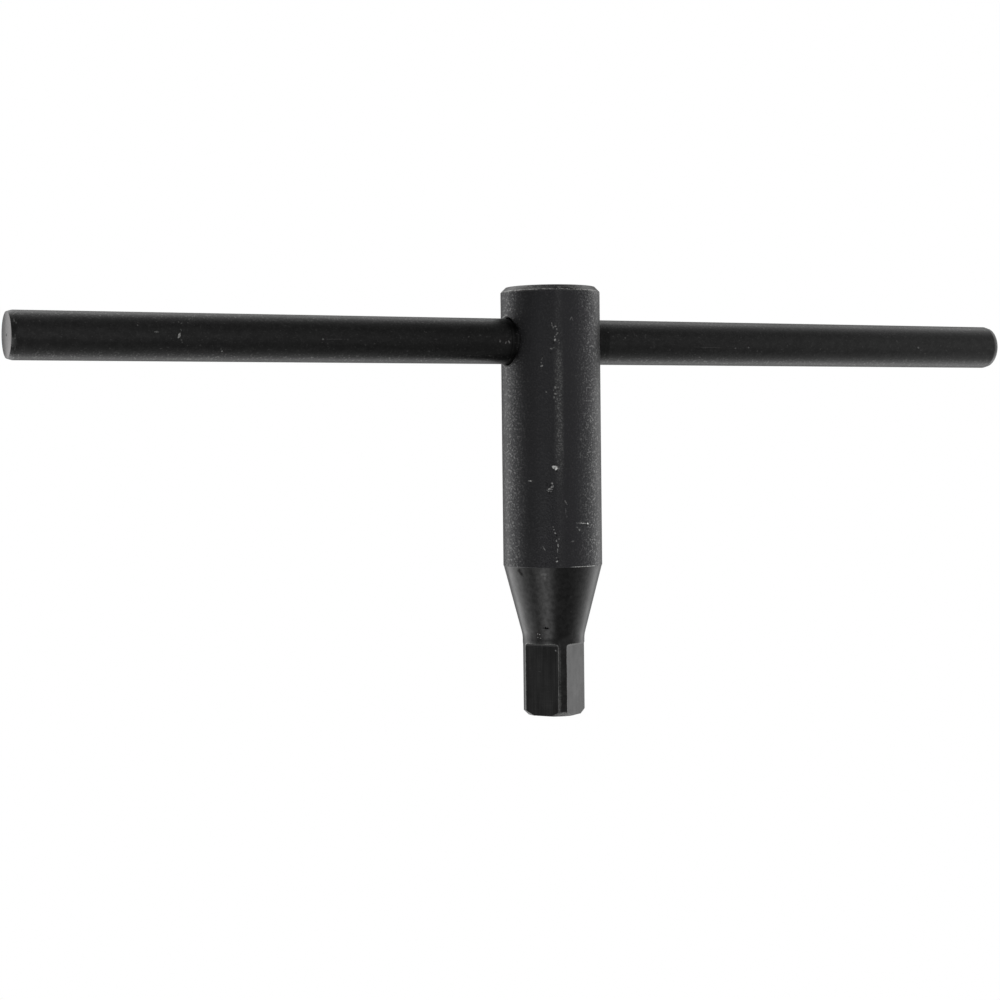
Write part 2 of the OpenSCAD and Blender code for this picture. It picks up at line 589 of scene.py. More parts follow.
@dataclass(frozen=True)
class MillSkin(BlackOxide):
    """Head's side: bar stock with its rolled skin left on, blackened.

    The finely pitted skin gets painted glints and shade where light grazes it, and looks smooth face on.
    One line down the head shows specks of steel from rubbing, with a painted highlight along it.

    Attributes:
        grain: Size of the pits from front to back, from side to side and in height, in
            millimetres. Real ones are about 0.3 mm all round, and they are drawn longer from
            front to back so that they show at the head's sides.
        depth: Depth of the pits, in millimetres.
        twinkle: Where the pits get painted glints and shade.
        rub_sheen_across: Bearing of the rub line and its painted highlight, in degrees from the facing
            line.
        rub_sheen_half: Half its width, in degrees.
        rub_sheen_low: Height at which the line fades out, in millimetres.
        rub_sheen_high: Height up to which it runs, in millimetres.
        rub_sheen_least: Share of bare steel between its specks, a painted highlight.
        rub_sheen_most: Share of bare steel in its specks.
        sheen_across: Bearing of the painted sheen, the side of the head made lighter where light falls on
            it, in degrees.
        sheen_core: Degrees to either side over which the sheen is strongest.
        sheen_reach: Degrees to either side at which it ends.
        light: Factor on the oxide's colour at the middle of the painted sheen.
    """

    grain: tuple[float, float, float] = (0.8, 0.4, 0.4)
    depth: float = 0.06
    twinkle: Twinkle = Twinkle(start=25.0, full=62.0, fade=72.0, calm=100.0, front=0.08, behind=0.35)
    rub_sheen_across: float = 9.0
    rub_sheen_half: float = 7.0
    rub_sheen_low: float = 54.0
    rub_sheen_high: float = 80.0
    rub_sheen_least: float = 0.02
    rub_sheen_most: float = 0.12
    sheen_across: float = 24.0
    sheen_core: float = 10.0
    sheen_reach: float = 45.0
    light: float = 1.28

    def rub_sheen_mask(
        self, tree: bpy.types.NodeTree, side: Unrolled, fine: bpy.types.NodeSocket
    ) -> bpy.types.NodeSocket:
        """Mask of the rub line down the head: specks of steel, with a painted highlight between them.

        Args:
            tree: The material's tree.
            side: The head's side, unrolled.
            fine: Fine grains that make the specks.

        Returns:
            Share of bare steel, from 0 to 1.
        """
        off = apart(tree, side.across, self.rub_sheen_across)
        line = add(tree, RAMP, (off, self.rub_sheen_half, 0.0, 0.0, 1.0), interpolation_type=SOFT)[0]
        foot = (self.rub_sheen_low - 6.0, self.rub_sheen_low + 6.0, 0.15, 1.0)
        low = add(tree, RAMP, (side.along, *foot), interpolation_type=SOFT)[0]
        top = (self.rub_sheen_high - 3.0, self.rub_sheen_high + 3.0, 1.0, 0.25)
        high = add(tree, RAMP, (side.along, *top), interpolation_type=SOFT)[0]
        limits = (0.46, 0.70, self.rub_sheen_least, self.rub_sheen_most)
        specks = add(tree, RAMP, (fine, *limits), interpolation_type=SOFT)[0]
        length = add(tree, MATH, (low, high), operation="MULTIPLY")[0]
        share = add(tree, MATH, (line, specks), operation="MULTIPLY")[0]
        return add(tree, MATH, (share, length), operation="MULTIPLY")[0]

    def make(self, head_r: float, rings: tuple[Ring, ...]) -> bpy.types.Material:
        """Build the material.

        Args:
            head_r: Radius of the head, in metres.
            rings: Light bands along edges round the head, partly wear and partly painted highlights.

        Returns:
            The material.
        """
        material, tree, where = self.start()
        inputs = {"Vector": where, "Rotation": facing_turn().to_euler()}
        squared = add(tree, "ShaderNodeMapping", inputs, vector_type="POINT")[0]
        pits = grains(tree, squared, self.grain, 1.0)
        patches = grains(tree, where, (5.0, 5.0, 9.0))
        fine = grains(tree, where, FINE_MM, 1.0)
        side = Unrolled.about(tree, where, facing_turn(), Vector())
        marks = side.marked(tree, HEAD_MARKS, head_r / MM, fine)
        # Scuffed specks of steel down one line, with a painted highlight along it
        rub_sheen = self.rub_sheen_mask(tree, side, fine)
        # Light bands along the head's edges: partly wear, partly painted highlights
        edges = side.worn(tree, rings, fine)
        wear = add(tree, MATH, (marks, rub_sheen), operation="MAXIMUM")[0]
        wear = add(tree, MATH, (wear, edges), operation="MAXIMUM")[0]
        # Painted glints in the pits at the head's sides, where light grazes them, added to the wear
        crisp = self.twinkle.mask(tree, side)
        rims = add(tree, RAMP, (pits, 0.52, 0.72, 0.0, 0.13), interpolation_type=SOFT)[0]
        sparkle = add(tree, MATH, (rims, crisp), operation="MULTIPLY")[0]
        wear = add(tree, MATH, (wear, sparkle), operation="ADD")[0]
        # Painted shade beside the nicks, darkening the oxide's colour
        pit_shade = side.marked(tree, HEAD_PIT_SHADE, head_r / MM, fine)
        left = add(tree, MATH, (1.0, pit_shade), operation="SUBTRACT")[0]
        # Painted shade in the same pits, taken off the oxide's colour
        side_pit_shade = add(tree, RAMP, (pits, 0.28, 0.48, 0.55, 0.0), interpolation_type=SOFT)[0]
        dark = add(tree, MATH, (side_pit_shade, crisp), operation="MULTIPLY")[0]
        shade = add(tree, MATH, (left, dark), operation="SUBTRACT")[0]
        # Painted sheen: one side of the head is made lighter, standing for light that falls on it
        off = apart(tree, side.across, self.sheen_across)
        limits = (self.sheen_reach, self.sheen_core, 1.0, self.light)
        light = add(tree, RAMP, (off, *limits), interpolation_type=SOFT)[0]
        shade = add(tree, MATH, (shade, light), operation="MULTIPLY")[0]
        self.close(tree, wear, shade, patches, pits, self.depth)
        return material


@dataclass(frozen=True)
class TurnedSteel(BlackOxide):
    """Taper, journal, lands, chamfers and faced ends: turned on a lathe, then blackened.

    The tool leaves rings, which catch the light as faint lines round the axis.

    Attributes:
        feed: Spacing of the rings, in millimetres. A real finishing cut has about 0.1 mm, and
            the rings are drawn coarser so that they show.
        depth: Depth of the rings, in millimetres.
        drift: Distance over which the rings slowly change, in millimetres.
    """

    feed: float = 0.45
    depth: float = 0.006
    drift: float = 20.0

    def make(
        self,
        radius: float,
        turn: Matrix,
        centre: Vector,
        marks: tuple[Mark, ...] = (),
        pits: tuple[Mark, ...] = (),
        rings: tuple[Ring, ...] = (),
        core_mm: float = 0.0,
    ) -> bpy.types.Material:
        """Build the material.

        Args:
            radius: Radius at which the marks are placed, in metres.
            turn: Rotation that brings the lathe's axis to Z and the facing line to X.
            centre: A point on that axis.
            marks: Bright marks on the surface.
            pits: Painted shade in pits and dashes on the surface.
            rings: Light bands along edges round the axis, partly wear and partly painted highlights.
            core_mm: Radius of the dark pip that the lathe's centre leaves, in millimetres.

        Returns:
            The material.
        """
        material, tree, where = self.start()
        side = Unrolled.about(tree, where, turn, centre)
        # Length along the axis plus half the radius changes across every turned face
        half_radius = add(tree, MATH, (side.radius, 0.5), operation="MULTIPLY")[0]
        travel = add(tree, MATH, (side.along, half_radius), operation="ADD")[0]
        turns = add(tree, MATH, (travel, self.feed), operation="DIVIDE")[0]
        drift = add(tree, VECTOR, {0: where, "Scale": 1 / (self.drift * MM)}, operation="SCALE")[0]
        run = add(tree, "ShaderNodeCombineXYZ", (turns,))[0]
        path = add(tree, VECTOR, (run, drift), operation="ADD")[0]
        cut = add(tree, "ShaderNodeTexNoise", {"Vector": path, "Scale": 1.0, "Detail": 2.0})[0]
        patches = grains(tree, where, (4.0,) * 3)
        fine = grains(tree, where, FINE_MM, 1.0)
        blotches = grains(tree, where, (0.9,) * 3)
        bright = side.marked(tree, marks, radius / MM, fine)
        # Light bands along edges: partly wear, partly painted highlights
        wear = add(tree, MATH, (bright, side.worn(tree, rings, fine)), operation="MAXIMUM")[0]
        # Painted shade in pits and dashes, which darkens the oxide and hides any wear there
        dark = side.marked(tree, pits, radius / MM, fine)
        left = add(tree, MATH, (1.0, dark), operation="SUBTRACT", use_clamp=True)[0]
        wear = add(tree, MATH, (wear, left), operation="MULTIPLY")[0]
        mottle = add(tree, RAMP, (blotches, *MOST, 0.78, 1.22), interpolation_type=SOFT)[0]
        shade = add(tree, MATH, (mottle, left), operation="MULTIPLY")[0]
        if core_mm:
            limits = (0.6 * core_mm, core_mm, 0.12, 1.0)
            core = add(tree, RAMP, (side.radius, *limits), interpolation_type=SOFT)[0]
            shade = add(tree, MATH, (shade, core), operation="MULTIPLY")[0]
        self.close(tree, wear, shade, patches, cut, self.depth)
        return material


@dataclass(frozen=True)
class MilledFlat(BlackOxide):
    """Flats of the square: milled along the shank, then blackened.

    The cutter leaves fine lines along the flat, and the socket leaves short scratches across.

    Attributes:
        pitch: Spacing of the lines, in millimetres.
        depth: Depth of the lines, in millimetres.
    """

    pitch: float = 0.4
    depth: float = 0.010

    def make(self, land_r: float) -> bpy.types.Material:
        """Build the material.

        Args:
            land_r: Radius at which the marks are placed, in metres.

        Returns:
            The material.
        """
        material, tree, where = self.start()
        lines = grains(tree, where, (self.pitch, self.pitch, 12.0))
        patches = grains(tree, where, (3.0,) * 3)
        fine = grains(tree, where, FINE_MM, 1.0)
        strokes = grains(tree, where, (3.0, 3.0, 0.25), 1.0)
        side = Unrolled.about(tree, where, facing_turn(), Vector())
        marks = side.marked(tree, DRIVE_MARKS, land_r / MM, fine)
        scratches = add(tree, RAMP, (strokes, 0.60, 0.80, 0.0, 0.012), interpolation_type=SOFT)[0]
        wear = add(tree, MATH, (scratches, marks), operation="MAXIMUM")[0]
        shade = add(tree, RAMP, (lines, *MOST, 0.80, 1.26), interpolation_type=SOFT)[0]
        self.close(tree, wear, shade, patches, lines, self.depth)
        return material


@dataclass(frozen=True)
class WornEdge(BlackOxide):
    """Broken edges of the drive and of the bore's mouths, where use has thinned the oxide.

    They show as thin light lines with gaps in them.

    Attributes:
        least: Share of bare steel in the gaps.
        most: Share of bare steel where the edge is worn most.
        stretch: Length of the gaps, in millimetres.
    """

    least: float = 0.04
    most: float = 0.15
    stretch: float = 1.5

    def make(self) -> bpy.types.Material:
        """Build the material.

        Returns:
            The material.
        """
        material, tree, where = self.start()
        gaps = grains(tree, where, (self.stretch,) * 3)
        fine = grains(tree, where, FINE_MM, 1.0)
        wear = add(tree, RAMP, (gaps, 0.35, 0.6, self.least, self.most), interpolation_type=SOFT)[0]
        shade = add(tree, RAMP, (fine, *MOST, 0.8, 1.2), interpolation_type=SOFT)[0]
        self.close(tree, wear, shade, gaps, fine, 0.005)
        return material


@dataclass(frozen=True)
class DrawnBar(BlackOxide):
    """Side of the handle bar: cold-drawn round bar, blackened.

    Drawing leaves long faint lines and handling leaves short nicks. The colour is darkest
    beside the head and grows lighter towards the ends.

    Attributes:
        pitch: Spacing of the drawing lines, in millimetres.
        depth: Depth of the lines, in millimetres.
        darkest: Distance of the darkest place from the bar's middle along X, in millimetres.
        fade: Distance from there over which the colour grows to its lightest, in millimetres.
        shaded_collar: Distance from the bar's middle to which fine dark rings and painted shade beside the
            head reach, in millimetres.
        grain: Size of the fine pits along X, Y and Z, in millimetres. They are drawn longer
            from front to back so that they show at the bar's upper and lower rims.
        twinkle: Where the pits get painted glints.
    """

    pitch: float = 0.6
    depth: float = 0.03
    darkest: float = -22.0
    fade: float = 125.0
    shaded_collar: float = 12.0
    grain: tuple[float, float, float] = (0.4, 0.8, 0.4)
    twinkle: Twinkle = Twinkle(start=35.0, full=66.0, fade=72.0, calm=95.0, front=0.10, behind=0.30)

    def make(self, radius: float, axis_z: float) -> bpy.types.Material:
        """Build the material.

        Args:
            radius: Radius of the bar, in metres.
            axis_z: Height of its axis, in metres.

        Returns:
            The material.
        """
        material, tree, where = self.start()
        lines = grains(tree, where, (9.0, self.pitch, self.pitch))
        pits = grains(tree, where, self.grain, 1.0)
        relief = add(tree, "ShaderNodeMix", {0: 0.6, 2: lines, 3: pits}, data_type="FLOAT")[0]
        patches = grains(tree, where, (25.0, 4.0, 4.0))
        blotches = grains(tree, where, (1.3, 0.9, 0.9))
        fine = grains(tree, where, FINE_MM, 1.0)
        side = Unrolled.about(tree, where, bar_turn(), Vector((0.0, 0.0, axis_z)))
        marks = side.marked(tree, BAR_MARKS, radius / MM, fine)
        dots = grains(tree, where, (0.7, 0.5, 0.5), 1.0)
        specks = add(tree, RAMP, (dots, 0.66, 0.82, 0.0, 0.05), interpolation_type=SOFT)[0]
        wear = add(tree, MATH, (marks, specks), operation="MAXIMUM")[0]
        # Painted glints in the pits at the bar's upper and lower rims, where light grazes them
        crisp = self.twinkle.mask(tree, side)
        rims = add(tree, RAMP, (pits, 0.54, 0.74, 0.0, 0.12), interpolation_type=SOFT)[0]
        sparkle = add(tree, MATH, (rims, crisp), operation="MULTIPLY")[0]
        wear = add(tree, MATH, (wear, sparkle), operation="ADD")[0]
        # Darkest beside the head, lighter towards the ends
        away = apart(tree, side.along, self.darkest)
        thin = add(tree, RAMP, (away, 0.0, self.fade, 0.66, 1.18))[0]
        mottle = add(tree, RAMP, (blotches, *MOST, 0.88, 1.12), interpolation_type=SOFT)[0]
        shade = add(tree, MATH, (thin, mottle), operation="MULTIPLY")[0]
        # Fine dark rings near the head, with painted shade where the bar meets it
        near = apart(tree, side.along, 0.0)
        rings = grains(tree, where, (0.35, 40.0, 40.0), 1.0)
        shaded_collar = add(tree, RAMP, (rings, 0.35, 0.65, 0.45, 0.95), interpolation_type=SOFT)[0]
        inside = add(tree, RAMP, (near, self.shaded_collar, self.shaded_collar + 0.6, 1.0, 0.0))[0]
        ringed_and_shaded = add(tree, "ShaderNodeMix", {0: inside, 2: 1.0, 3: shaded_collar}, data_type="FLOAT")[0]
        shade = add(tree, MATH, (shade, ringed_and_shaded), operation="MULTIPLY")[0]
        self.close(tree, wear, shade, patches, relief, self.depth)
        return material


# ------------------------------------------------------------------------------- meshes


def turned(outline: list[tuple[float, float]]) -> bmesh.types.BMesh:
    """Spin a half outline round Z into a closed solid.

    Args:
        outline: Radius and height of each corner, from the axis round to the axis again.

    Returns:
        The solid, with its faces pointing outwards.
    """
    bm = bmesh.new()
    corners = [bm.verts.new((radius, 0.0, height)) for radius, height in outline]
    for a, b in zip(corners, corners[1:]):
        bm.edges.new((a, b))
    bmesh.ops.spin(
        bm,
        geom=bm.verts[:] + bm.edges[:],
        cent=(0, 0, 0),
        axis=(0, 0, 1),
        angle=math.tau,
        steps=TURN_STEPS,
        use_merge=True,
    )
    bmesh.ops.remove_doubles(bm, verts=bm.verts, dist=MERGE)
    bmesh.ops.recalc_face_normals(bm, faces=bm.faces)
    return bm


def soften_ring(bm: bmesh.types.BMesh, radius: float, height: float, width: float, steps: int = 2) -> None:
    """Round one ring of edges of a turned solid.

    Args:
        bm: The solid.
        radius: Radius of the ring.
        height: Height of the ring.
        width: How far the round reaches from the edge on each side.
        steps: Segments of the round.
    """
    near = 0.001 * MM
    ring = [
        edge
        for edge in bm.edges
        if all(abs(v.co.z - height) < near and abs(v.co.xy.length - radius) < near for v in edge.verts)
    ]
    bmesh.ops.bevel(
        bm,
        geom=ring,
        offset=width,
        offset_type="OFFSET",
        affect="EDGES",
        segments=steps,
        profile=0.5,
        material=-1,
        clamp_overlap=True,
    )


def as_object(name: str, bm: bmesh.types.BMesh) -> bpy.types.Object:
    """Turn a bmesh into an object in the scene and free the bmesh.

    Args:
        name: Name of the object and its mesh.
        bm: The finished bmesh.

    Returns:
        The object, at the origin.
    """
    mesh = bpy.data.meshes.new(name)
    bm.to_mesh(mesh)
    bm.free()
    piece = bpy.data.objects.new(name, mesh)
    bpy.context.scene.collection.objects.link(piece)
    return piece


def carve(piece: bpy.types.Object, cutters: list[bpy.types.Object]) -> None:
    """Cut solids out of a piece and remove them.

    Args:
        piece: The piece, whose mesh is replaced by the carved one.
        cutters: Closed solids.
    """
    for cutter in cutters:
        cut = piece.modifiers.new("cut", "BOOLEAN")
        cut.operation = "DIFFERENCE"
        cut.solver = "EXACT"
        cut.object = cutter
    shapes = bpy.context.evaluated_depsgraph_get()
    carved = bpy.data.meshes.new_from_object(piece.evaluated_get(shapes))
    piece.modifiers.clear()
    blank = piece.data
    piece.data = carved
    carved.name = piece.name
    bpy.data.meshes.remove(blank)
    for cutter in cutters:
        bpy.data.meshes.remove(cutter.data)


def smooth(piece: bpy.types.Object, sharp_deg: float = 30.0) -> None:
    """Shade a piece smooth, with its large faces kept flat and its true edges kept crisp.

    Args:
        piece: The piece.
        sharp_deg: Angle above which an edge stays sharp, in degrees.
    """
    piece.data.shade_smooth()
    piece.data.set_sharp_from_angle(angle=math.radians(sharp_deg))
    weigh = piece.modifiers.new("weigh_normals", "WEIGHTED_NORMAL")
    weigh.keep_sharp = True


@dataclass
class Shank:
    """The turned shank: head, taper, journal and square drive in one piece of steel.

    Attributes:
        head_r: Radius of the head.
        length: Height from the drive's end face to the top of the head.
        bar_z: Height of the cross bore's axis.
        bar_r: Radius of the cross bore.
        flat_out: Distance of each flat from the axis.
        first_flat_deg: Bearing of the first flat's outward direction, in degrees.
        flat_len: Length of the flats.
        top_chamfer: Width of the chamfer round the top of the head.
        edge_break: Width of the break on the head's lower edge.
        taper_start: Height at which the taper leaves the journal.
        taper_end: Height at which it reaches the head.
        blend_r: Radius that blends the two.
        land_r: Radius of the journal and of the lands between the flats.
        flat_fillet: Radius that the cutter leaves at each flat's shoulder.
        end_chamfer: Width of the chamfer round the end face.
        mouth_step: Radial width of the countersink at each mouth of the bore.
        crisp: Width of the break on the other edges.
        weld: Distance within which the vertices of a cut's rim are joined before it is broken.
    """

    head_r: float
    length: float
    bar_z: float
    bar_r: float
    flat_out: float
    first_flat_deg: float
    flat_len: float
    top_chamfer: float = 1.1 * MM
    edge_break: float = 0.1 * MM
    taper_start: float = 17.6 * MM
    taper_end: float = 33.1 * MM
    blend_r: float = 6.0 * MM
    land_r: float = 6.875 * MM
    flat_fillet: float = 0.6 * MM
    end_chamfer: float = 1.0 * MM
    mouth_step: float = 0.6 * MM
    crisp: float = 0.06 * MM
    weld: float = 0.06 * MM

    @classmethod
    def from_frame(cls) -> "Shank":
        """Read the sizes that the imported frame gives.

        Returns:
            The shank, not yet built.
        """
        low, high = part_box("shank")
        bar_low, bar_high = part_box("handle_bar")
        mounts = {mount["name"]: mount for mount in frame["record"]["mounts"]}
        flat = mounts["drive_flat_1"]
        return cls(
            head_r=(high.x - low.x) / 2,
            length=high.z - low.z,
            bar_z=(bar_low.z + bar_high.z) / 2,
            bar_r=(bar_high.z - bar_low.z) / 2,
            flat_out=math.hypot(*flat["pos_m"][:2]),
            first_flat_deg=math.degrees(math.atan2(flat["axis"][1], flat["axis"][0])),
            flat_len=mounts["square_drive"]["dims"]["length_mm"] * MM,
        )

    def flat_normals(self) -> list[Vector]:
        """Outward direction of each of the four flats, from the first one round."""
        turns = (math.radians(self.first_flat_deg + 90 * i) for i in range(4))
        return [Vector((math.cos(turn), math.sin(turn), 0.0)) for turn in turns]

    def blank(self) -> bmesh.types.BMesh:
        """Turn the shank, before milling and drilling.

        Returns:
            The turned solid, with its edges broken.
        """
        taper_end_r = self.head_r - self.edge_break
        slope = math.atan2(taper_end_r - self.land_r, self.taper_end - self.taper_start)
        room = self.bar_r + 2 * self.mouth_step
        head_low = self.taper_end + self.edge_break
        head_high = self.length - self.top_chamfer
        bm = turned(
            [
                (0.0, 0.0),
                (self.land_r - self.end_chamfer, 0.0),
                (self.land_r, self.end_chamfer),
                (self.land_r, self.taper_start),
                (taper_end_r, self.taper_end),
                (self.head_r, head_low),
                (self.head_r, self.bar_z - room),
                (self.head_r, self.bar_z + room),
                (self.head_r, head_high),
                (self.head_r - self.top_chamfer, self.length),
                (0.0, self.length),
            ]
        )
        soften_ring(bm, self.land_r, self.taper_start, self.blend_r * math.tan(slope / 2), 8)
        soften_ring(bm, self.head_r, head_high, 2 * self.crisp)
        soften_ring(bm, self.head_r - self.top_chamfer, self.length, 0.5 * self.crisp)
        return bm

    def flat_cutter(self, normal: Vector) -> bpy.types.Object:
        """Make the solid that mills one flat, with the cutter's own corner radius.

        Args:
            normal: Outward direction of the flat.

        Returns:
            The cutter.
        """
        spare = 2 * MM
        depth = self.land_r
        height = self.flat_len + spare
        bm = bmesh.new()
        bmesh.ops.create_cube(bm, size=1.0)
        bmesh.ops.scale(bm, vec=(depth, 4 * self.land_r, height), verts=bm.verts)
        move = Vector((self.flat_out + depth / 2, 0.0, height / 2 - spare))
        bmesh.ops.translate(bm, vec=move, verts=bm.verts)
        corner = [
            edge
            for edge in bm.edges
            if all(v.co.x < self.land_r and v.co.z > self.flat_len / 2 for v in edge.verts)
        ]
        bmesh.ops.bevel(
            bm,
            geom=corner,
            offset=self.flat_fillet,
            affect="EDGES",
            segments=6,
            profile=0.5,
            material=-1,
        )
        turn = Matrix.Rotation(math.atan2(normal.y, normal.x), 3, "Z")
        bmesh.ops.rotate(bm, cent=(0, 0, 0), matrix=turn, verts=bm.verts)
        return as_object("flat_cutter", bm)

    def bore_cutter(self) -> bpy.types.Object:
        """Make the solid that drills the cross bore and both countersinks.

        Returns:
            The cutter.
        """
        spare = 1 * MM
        wide = self.bar_r + self.mouth_step + spare
        reach = self.head_r + spare
        inner = self.head_r - self.mouth_step
        bm = turned(
            [
                (0.0, -reach),
                (wide, -reach),
                (self.bar_r, -inner),
                (self.bar_r, inner),
                (wide, reach),
                (0.0, reach),
            ]
        )
        lay_along_x(bm, self.bar_z)
        return as_object("bore_cutter", bm)

    def drive_edges(self, bm: bmesh.types.BMesh) -> list[bmesh.types.BMEdge]:
        """Find the edges that the mill leaves round each flat, and those of the end face.

        Args:
            bm: The carved shank.

        Returns:
            The edges.
        """
        normals = self.flat_normals()
        return [
            edge
            for edge in bm.edges
            if edge.calc_face_angle(0.0) > math.radians(SHARP_DEG)
            and max(v.co.z for v in edge.verts) < self.taper_start
            and all(max(v.co.dot(n) for n in normals) > self.flat_out - self.crisp for v in edge.verts)
        ]

    def mouth_edges(self, bm: bmesh.types.BMesh) -> list[bmesh.types.BMEdge]:
        """Find the edges where the countersinks meet the head's side.

        Args:
            bm: The carved shank.

        Returns:
            The edges.
        """
        return [
            edge
            for edge in bm.edges
            if edge.calc_face_angle(0.0) > math.radians(SHARP_DEG)
            and all(
                abs(v.co.xy.length - self.head_r) < self.crisp
                and abs(v.co.z - self.bar_z) < self.bar_r + 1.5 * self.mouth_step
                for v in edge.verts
            )
        ]

    def soften_cuts(self, bm: bmesh.types.BMesh) -> set[bmesh.types.BMFace]:
        """Break the edges that the mill and the drill leave.

        Args:
            bm: The carved shank.

        Returns:
            The faces of the broken edges.
        """
        broken: set[bmesh.types.BMFace] = set()
        for find in (self.drive_edges, self.mouth_edges):
            rim = {v for edge in find(bm) for v in edge.verts}
            bmesh.ops.remove_doubles(bm, verts=list(rim), dist=self.weld)
            edges = find(bm)
            made = bmesh.ops.bevel(
                bm,
                geom=edges,
                offset=self.crisp,
                affect="EDGES",
                segments=2,
                profile=0.5,
                material=-1,
                clamp_overlap=False,
            )
            broken.update(made["faces"])
            area = sum(face.calc_area() for face in made["faces"]) / MM**2
            log.info("softened %d edges into %.2f square millimetres", len(edges), area)
        return broken

    def finish_at(self, centre: Vector, normal: Vector) -> ShankFinish:
        """Say which finish a face has.

        Args:
            centre: Middle of the face.
            normal: Direction of the face.

        Returns:
            The finish.
        """
        out = max(centre.dot(n) for n in self.flat_normals())
        on_head = centre.z > self.taper_end and centre.xy.length > self.head_r - self.edge_break
        on_flat = centre.z < self.flat_len and out < self.flat_out + self.flat_fillet
        if abs(normal.z) > STRAIGHT:
            return ShankFinish.FACED
        if on_head and (abs(normal.z) < UPRIGHT or centre.z < self.taper_end + self.edge_break):
            return ShankFinish.MILL_SKIN
        if on_flat and max(normal.dot(n) for n in self.flat_normals()) > SQUARE_ON:
            return ShankFinish.MILLED
        return ShankFinish.TURNED

    def materials(self) -> list[bpy.types.Material]:
        """Make the shank's materials.

        Returns:
            The materials, in the order of ShankFinish.
        """
        rim = (self.length - self.top_chamfer) / MM
        edge = (self.taper_end + self.edge_break) / MM
        chamfer = self.top_chamfer / MM
        # Light bands at the head's top rim, both sides of its top chamfer, one side of its lower edge and
        # the end chamfer: partly wear, partly painted highlights where these edges catch the light
        rings = (
            Ring(rim + 0.05, 0.18, 0.0, 400.0, 0.34),
            Ring(rim + chamfer / 2, chamfer, -62.0, 75.0, 0.075),
            Ring(rim + chamfer / 2, chamfer, 52.0, 45.0, 0.075),
            Ring(edge, 0.10, 41.0, 22.0, 0.50),
            Ring(0.5, 0.8, 20.0, 40.0, 0.12),
        )
        turned_steel = TurnedSteel("blackened_turned_steel", "1b1b1b", 0.32).make(
            self.land_r, facing_turn(), Vector(), DRIVE_MARKS, TAPER_PIT_SHADE, rings
        )
        faced_steel = TurnedSteel("blackened_faced_steel", "1b1b1b", 0.32, depth=FACED_DEPTH)
        return [
            MillSkin("blackened_mill_skin", "1c1c1d", 0.44).make(self.head_r, rings),
            turned_steel,
            MilledFlat("blackened_milled_flat", "1c1c1c", 0.34).make(self.land_r),
            WornEdge("worn_black_edge", "1e1e1e", 0.34).make(),
            faced_steel.make(self.land_r, facing_turn(), Vector()),
        ]

    def build(self) -> bpy.types.Object:
        """Build, carve and dress the shank.

        Returns:
            The finished piece.
        """
        piece = as_object("shank_body", self.blank())
        cutters = [self.flat_cutter(normal) for normal in self.flat_normals()]
        carve(piece, [*cutters, self.bore_cutter()])
        bm = bmesh.new()
        bm.from_mesh(piece.data)
        bmesh.ops.remove_doubles(bm, verts=bm.verts, dist=CUT_MERGE)
        bmesh.ops.dissolve_degenerate(bm, edges=bm.edges, dist=CUT_MERGE)
        bmesh.ops.recalc_face_normals(bm, faces=bm.faces)
        broken = self.soften_cuts(bm)
        for face in bm.faces:
            finish = self.finish_at(face.calc_center_median(), face.normal)
            face.material_index = (ShankFinish.WORN_EDGE if face in broken else finish).value
        bm.to_mesh(piece.data)
        bm.free()
        for material in self.materials():
            piece.data.materials.append(material)
        smooth(piece)
        return piece


def lay_along_x(bm: bmesh.types.BMesh, height: float) -> None:
    """Lay a solid turned round Z along X, and lift it.

    Args:
        bm: The solid.
        height: Height of its axis afterwards.
    """
    bmesh.ops.rotate(bm, cent=(0, 0, 0), matrix=Matrix.Rotation(math.pi / 2, 3, "Y"), verts=bm.verts)
    bmesh.ops.translate(bm, vec=(0.0, 0.0, height), verts=bm.verts)


